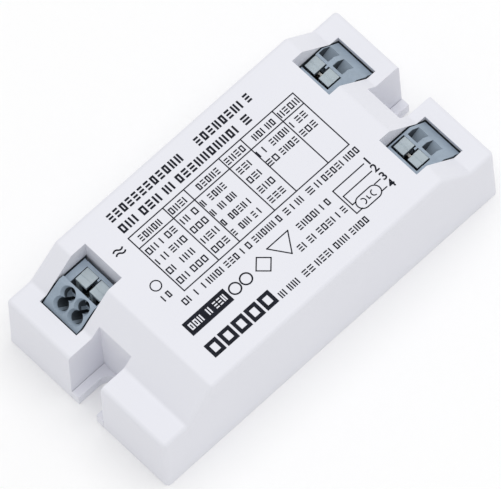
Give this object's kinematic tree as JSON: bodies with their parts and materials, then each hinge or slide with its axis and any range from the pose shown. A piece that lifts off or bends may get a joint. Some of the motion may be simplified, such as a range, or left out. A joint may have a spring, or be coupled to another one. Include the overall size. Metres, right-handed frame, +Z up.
{
  "type": "fluorescent lamp ballast",
  "caption": "Compact electronic ballast for one fluorescent lamp: stepped white case with end screw notches, push-in wire terminals and a populated circuit board inside.",
  "frame": {"origin": "middle of the underside", "axes": "+Z up, +X along the length towards the lamp terminals, +Y towards the side with the mains terminal"},
  "size_m": [0.08, 0.04, 0.022],
  "materials": {
    "case_white": "satin moulded, faint spark texture",
    "terminal_grey": "satin moulded",
    "tongue_grey": "satin moulded",
    "tinned_contact": "tinned copper alloy",
    "spring_steel": "rolled stainless strip",
    "board_laminate": "paper laminate",
    "black_epoxy": "moulded epoxy",
    "enamelled_wire": "enamelled copper",
    "ferrite": "sintered",
    "can_sleeve": "shrunk sleeve",
    "fuse_case": "moulded",
    "bobbin_black": "moulded",
    "yellow_tape": "film tape",
    "film_case_yellow": "moulded box",
    "film_case_red": "dipped and boxed",
    "resistor_tan": "lacquered",
    "diac_blue": "lacquered glass",
    "thermistor_disc": "coated disc"
  },
  "bodies": {
    "root": {"base_plate": "case_white", "circuit_board": "board_laminate", "dc_block_capacitor": "film_case_red", "drive_ring_core": "ferrite", "drive_winding_1": "enamelled_wire", "drive_winding_2": "enamelled_wire", "drive_winding_3": "enamelled_wire", "filter_choke_core": "ferrite", "filter_choke_winding": "enamelled_wire", "housing_cover": "case_white", "lamp_choke_bobbin": "bobbin_black", "lamp_choke_core_inner": "ferrite", "lamp_choke_core_outer": "ferrite", "lamp_choke_tape": "yellow_tape", "lamp_choke_winding": "enamelled_wire", "lamp_clamp_spring_1": "spring_steel", "lamp_clamp_spring_2": "spring_steel", "lamp_clamp_spring_3": "spring_steel", "lamp_clamp_spring_4": "spring_steel", "lamp_contact_1": "tinned_contact", "lamp_contact_2": "tinned_contact", "lamp_contact_3": "tinned_contact", "lamp_contact_4": "tinned_contact", "lamp_terminal_12_body": "terminal_grey", "lamp_terminal_34_body": "terminal_grey", "mains_clamp_spring_1": "spring_steel", "mains_clamp_spring_2": "spring_steel", "mains_contact_1": "tinned_contact", "mains_contact_2": "tinned_contact", "mains_film_capacitor": "film_case_yellow", "mains_fuse": "fuse_case", "mains_terminal_body": "terminal_grey", "preheat_thermistor": "thermistor_disc", "rectifier_diode_1": "black_epoxy", "rectifier_diode_2": "black_epoxy", "rectifier_diode_3": "black_epoxy", "rectifier_diode_4": "black_epoxy", "reservoir_capacitor": "can_sleeve", "resonant_capacitor": "film_case_red", "sense_resistor": "resistor_tan", "snubber_capacitor": "film_case_red", "start_diac": "diac_blue", "start_resistor": "resistor_tan", "transistor_lower": "black_epoxy", "transistor_upper": "black_epoxy"},
    "mains_tongue_1": {"mains_release_1": "tongue_grey"},
    "mains_tongue_2": {"mains_release_2": "tongue_grey"},
    "lamp_tongue_1": {"lamp_release_1": "tongue_grey"},
    "lamp_tongue_2": {"lamp_release_2": "tongue_grey"},
    "lamp_tongue_3": {"lamp_release_3": "tongue_grey"},
    "lamp_tongue_4": {"lamp_release_4": "tongue_grey"}
  },
  "joints": [
    {"name": "mains_release_1_press", "type": "hinge", "parent": "root", "child": "mains_tongue_1", "pos_m": [-0.02604, 0.0122, 0.01715], "axis": [0, -1, 0], "range_deg": [0, 12], "stiffness_Nm_per_rad": 0.01, "springref_deg": -5.16},
    {"name": "mains_release_2_press", "type": "hinge", "parent": "root", "child": "mains_tongue_2", "pos_m": [-0.02604, 0.0087, 0.01715], "axis": [0, -1, 0], "range_deg": [0, 12], "stiffness_Nm_per_rad": 0.01, "springref_deg": -5.16},
    {"name": "lamp_release_1_press", "type": "hinge", "parent": "root", "child": "lamp_tongue_1", "pos_m": [0.0302, 0.0138, 0.01715], "axis": [0, -1, 0], "range_deg": [0, 12], "stiffness_Nm_per_rad": 0.01, "springref_deg": -5.16},
    {"name": "lamp_release_2_press", "type": "hinge", "parent": "root", "child": "lamp_tongue_2", "pos_m": [0.0302, 0.0103, 0.01715], "axis": [0, -1, 0], "range_deg": [0, 12], "stiffness_Nm_per_rad": 0.01, "springref_deg": -5.16},
    {"name": "lamp_release_3_press", "type": "hinge", "parent": "root", "child": "lamp_tongue_3", "pos_m": [0.0302, -0.0084, 0.01715], "axis": [0, -1, 0], "range_deg": [0, 12], "stiffness_Nm_per_rad": 0.01, "springref_deg": -5.16},
    {"name": "lamp_release_4_press", "type": "hinge", "parent": "root", "child": "lamp_tongue_4", "pos_m": [0.0302, -0.0119, 0.01715], "axis": [0, -1, 0], "range_deg": [0, 12], "stiffness_Nm_per_rad": 0.01, "springref_deg": -5.16}
  ]
}
